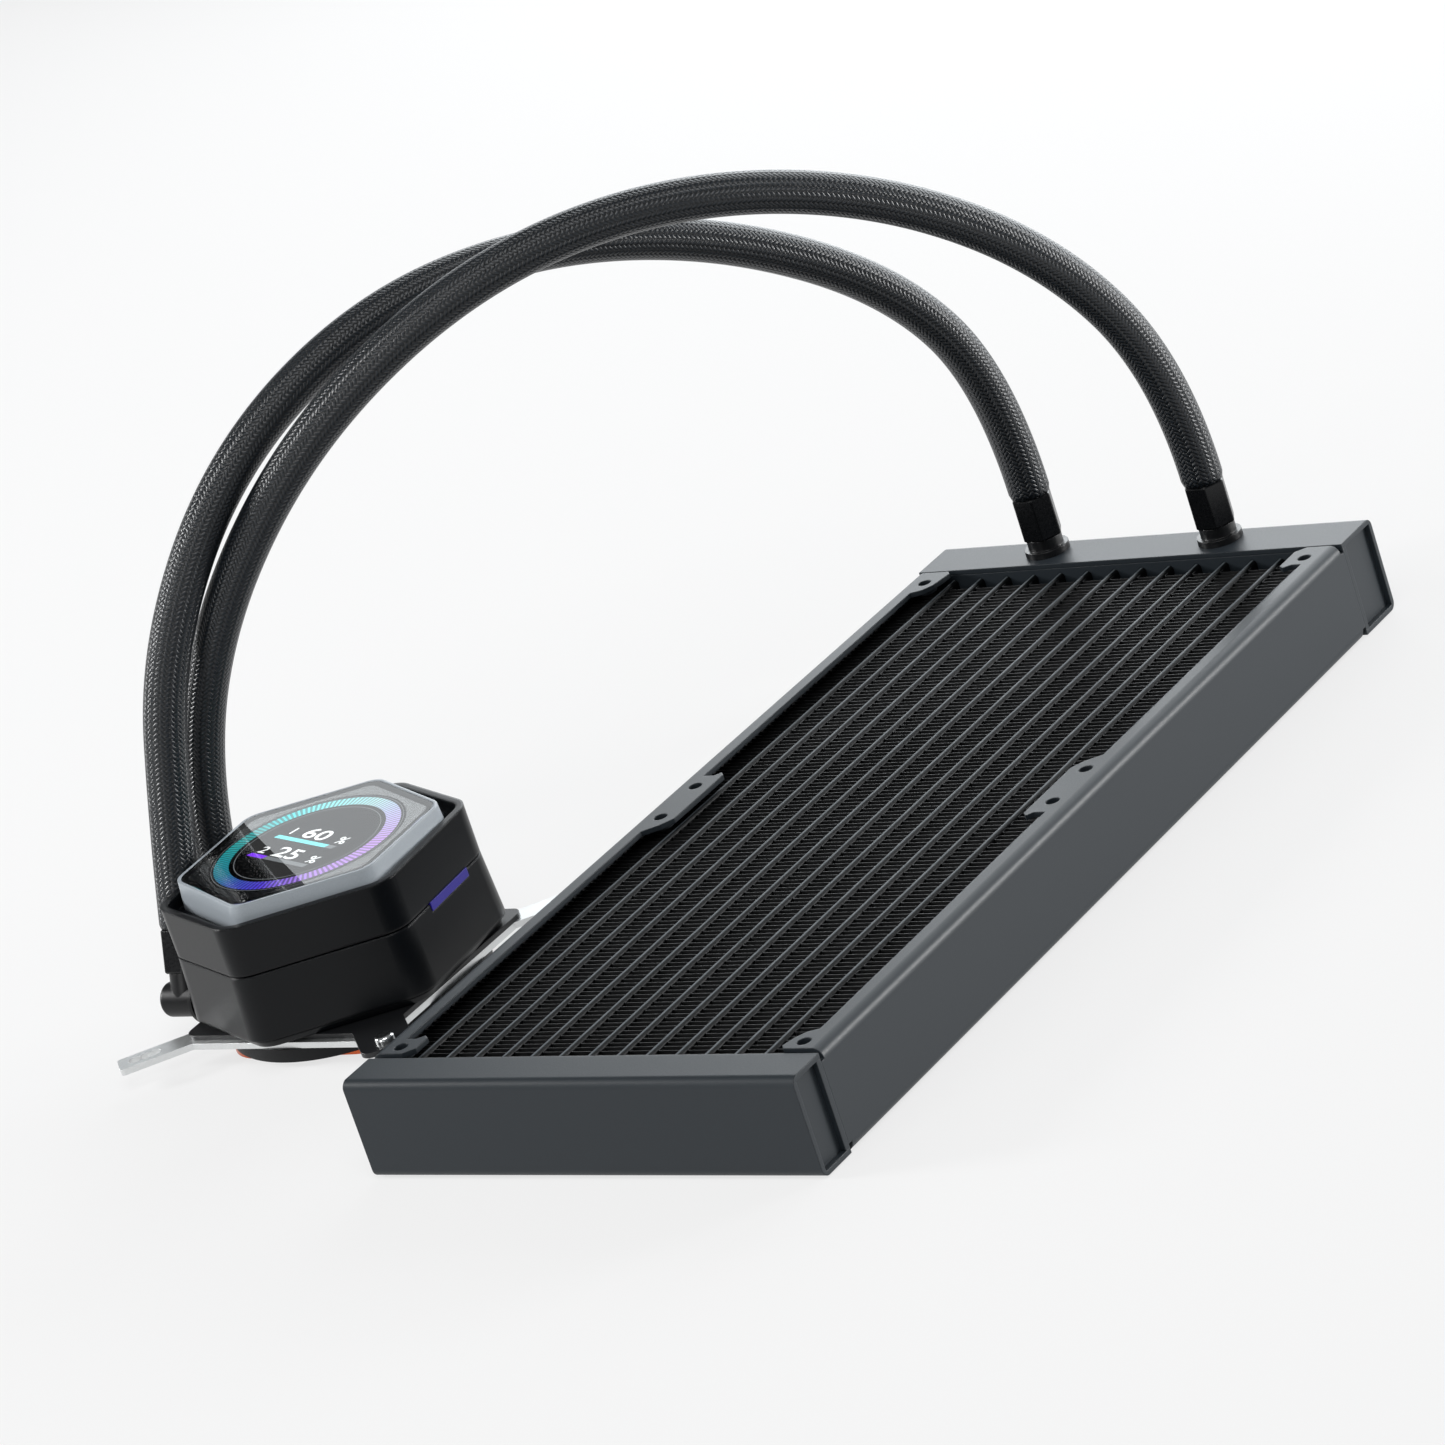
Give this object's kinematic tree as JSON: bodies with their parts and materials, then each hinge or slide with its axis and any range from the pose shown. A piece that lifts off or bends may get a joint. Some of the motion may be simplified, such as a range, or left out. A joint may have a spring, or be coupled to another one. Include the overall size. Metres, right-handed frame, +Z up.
{
  "type": "all in one cpu liquid cooler",
  "caption": "Closed-loop liquid cooler: finned radiator, braided hoses, swivel elbows and a hexagonal pump head with a round display and a cross-shaped socket bracket.",
  "frame": {"origin": "centre of the cold plate's contact face, on the pump head's axis", "axes": "+Z up, away from the processor; +Y along the radiator, towards the tank with the hose necks; +X from the pump head towards the radiator"},
  "size_m": [0.2221, 0.2616, 0.1523],
  "materials": {
    "radiator_black": "satin powder coat",
    "coolant_tubes": "dull grey",
    "fins": "black coated",
    "necks": "gloss black",
    "ferrules": "gloss black",
    "elbows": "satin black",
    "hoses": "braided nylon sleeve over rubber",
    "seals": "matt",
    "shell": "satin black",
    "bezel": "satin grey",
    "glass": "polished dark glass",
    "display": "dark, lit with a coloured ring",
    "light_window": "violet diffuser",
    "frame": "satin black",
    "bracket": "plated steel",
    "screws": "plated",
    "base": "moulded black",
    "copper": "machined copper",
    "rotor": "moulded",
    "magnet": "sintered",
    "shaft": "ground",
    "stator": "stacked sheets",
    "coils": "enamelled copper wire",
    "board": "green solder mask",
    "board_parts": "moulded"
  },
  "bodies": {
    "cooler": {"return_tank": "radiator_black", "port_tank": "radiator_black", "return_tank_end_caps": "radiator_black", "port_tank_end_caps": "radiator_black", "left_rail": "radiator_black", "right_rail": "radiator_black", "return_header": "radiator_black", "port_header": "radiator_black", "tank_baffle": "radiator_black", "coolant_tubes": "coolant_tubes", "fin_strips": "fins", "neck_left": "necks", "neck_right": "necks", "ferrule_left": "ferrules", "ferrule_right": "ferrules", "hose_left": "hoses", "hose_right": "hoses", "plate_gasket": "seals", "upper_shell": "shell", "lower_shell": "shell", "base_skirt": "shell", "display_carrier": "shell", "bezel": "bezel", "screen_glass": "glass", "display_panel": "display", "light_window": "light_window", "clamp_frame": "frame", "mounting_bracket": "bracket", "clamp_screws": "screws", "plate_screws": "screws", "board_screws": "screws", "base_ring": "base", "pump_chamber": "base", "isolation_cup": "base", "jet_plate": "base", "cold_plate": "copper", "rotor_shaft": "shaft", "stator_core": "stator", "stator_coils": "coils", "control_board": "board", "board_parts": "board_parts"},
    "front_elbow": {"elbow_front": "elbows", "elbow_ferrule_front": "ferrules", "elbow_seal_front": "seals"},
    "rear_elbow": {"elbow_rear": "elbows", "elbow_ferrule_rear": "ferrules", "elbow_seal_rear": "seals"},
    "rotor": {"impeller": "rotor", "rotor_magnet": "magnet", "rotor_bushing": "rotor"}
  },
  "joints": [
    {"name": "impeller_spin", "type": "hinge", "parent": "cooler", "child": "rotor", "pos_m": [0, 0, 0.012], "axis": [0, 0, 1], "continuous": true},
    {"name": "front_elbow_swivel", "type": "hinge", "parent": "cooler", "child": "front_elbow", "pos_m": [-0.03, -0.016, 0.0102], "axis": [1, 0, 0], "range_deg": [-12, 12], "deforming": ["hose_left"]},
    {"name": "rear_elbow_swivel", "type": "hinge", "parent": "cooler", "child": "rear_elbow", "pos_m": [-0.03, 0.0065, 0.0102], "axis": [1, 0, 0], "range_deg": [-12, 12], "deforming": ["hose_right"]}
  ]
}
